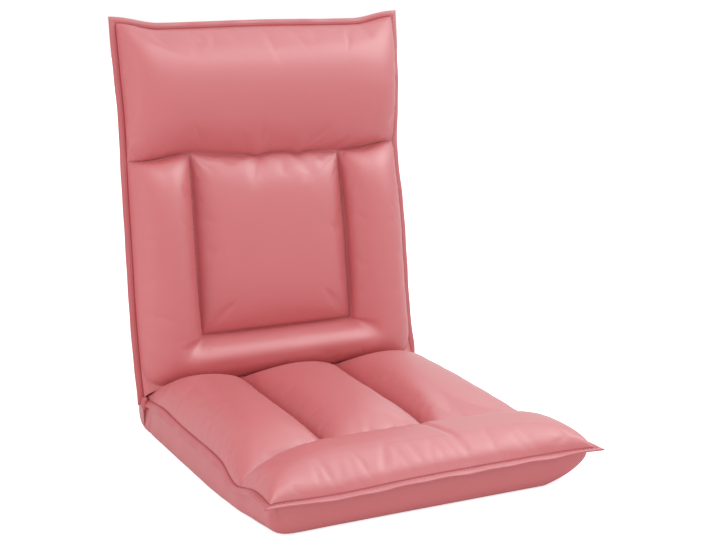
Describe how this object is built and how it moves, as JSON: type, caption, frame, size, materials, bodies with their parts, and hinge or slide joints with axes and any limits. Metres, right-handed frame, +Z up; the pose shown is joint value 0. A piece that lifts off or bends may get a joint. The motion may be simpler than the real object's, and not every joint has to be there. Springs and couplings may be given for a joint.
{
  "type": "folding floor chair",
  "caption": "Legless folding floor chair: channelled seat cushion with a front cross bolster, padded back with head pillow and framed centre panel, ratchet hinges at the fold.",
  "frame": {"origin": "on the floor at the centre of the seat's flat underside", "axes": "+X to the viewer's right across the chair, -Y to the front of the seat, +Z up"},
  "size_m": [0.512, 0.6783, 0.6648],
  "materials": {
    "leather_cover": "satin",
    "leather_edge": "satin",
    "foam": "matte",
    "fibre_fill": "matte",
    "tube_steel": "satin",
    "zinc_steel": "satin"
  },
  "bodies": {
    "seat": {"seat_frame_tube": "tube_steel", "seat_cross_tubes": "tube_steel", "seat_foam_core": "foam", "seat_channel_pad_left": "fibre_fill", "seat_channel_pad_centre": "fibre_fill", "seat_channel_pad_right": "fibre_fill", "seat_front_bolster_pad": "fibre_fill", "seat_top_cover": "leather_cover", "seat_base_cover": "leather_cover", "seat_edge_flange": "leather_edge", "fold_gusset": "leather_cover", "hinge_cheek_outer_left": "zinc_steel", "hinge_cheek_inner_left": "zinc_steel", "hinge_cheek_outer_right": "zinc_steel", "hinge_cheek_inner_right": "zinc_steel", "pivot_rivet_left": "zinc_steel", "pivot_rivet_right": "zinc_steel", "pawl_pin_left": "zinc_steel", "pawl_pin_right": "zinc_steel", "pawl_spring_left": "zinc_steel", "pawl_spring_right": "zinc_steel", "seat_tube_rivets": "zinc_steel"},
    "back": {"back_frame_tube": "tube_steel", "back_cross_tubes": "tube_steel", "back_foam_core": "foam", "head_pillow_pad": "fibre_fill", "back_centre_pad": "fibre_fill", "back_side_pad_left": "fibre_fill", "back_side_pad_right": "fibre_fill", "back_lower_pad": "fibre_fill", "back_front_cover": "leather_cover", "back_rear_cover": "leather_cover", "back_edge_flange": "leather_edge", "ratchet_arm_left": "zinc_steel", "ratchet_arm_right": "zinc_steel", "back_tube_rivets": "zinc_steel"},
    "left_pawl": {"pawl_left": "zinc_steel"},
    "right_pawl": {"pawl_right": "zinc_steel"}
  },
  "joints": [
    {"name": "back_fold", "type": "hinge", "parent": "seat", "child": "back", "pos_m": [0, 0.281, 0.051], "axis": [1, 0, 0], "range_deg": [-84, 66], "deforming": ["seat_channel_pad_left", "seat_channel_pad_centre", "seat_channel_pad_right", "seat_top_cover", "back_front_cover", "back_lower_pad", "back_side_pad_left", "back_side_pad_right", "back_centre_pad", "fold_gusset"]},
    {"name": "left_pawl_swing", "type": "hinge", "parent": "seat", "child": "left_pawl", "pos_m": [-0.1985, 0.257, 0.03], "axis": [1, 0, 0], "range_deg": [0, 3.5]},
    {"name": "right_pawl_swing", "type": "hinge", "parent": "seat", "child": "right_pawl", "pos_m": [0.1985, 0.257, 0.03], "axis": [1, 0, 0], "range_deg": [0, 3.5]}
  ]
}
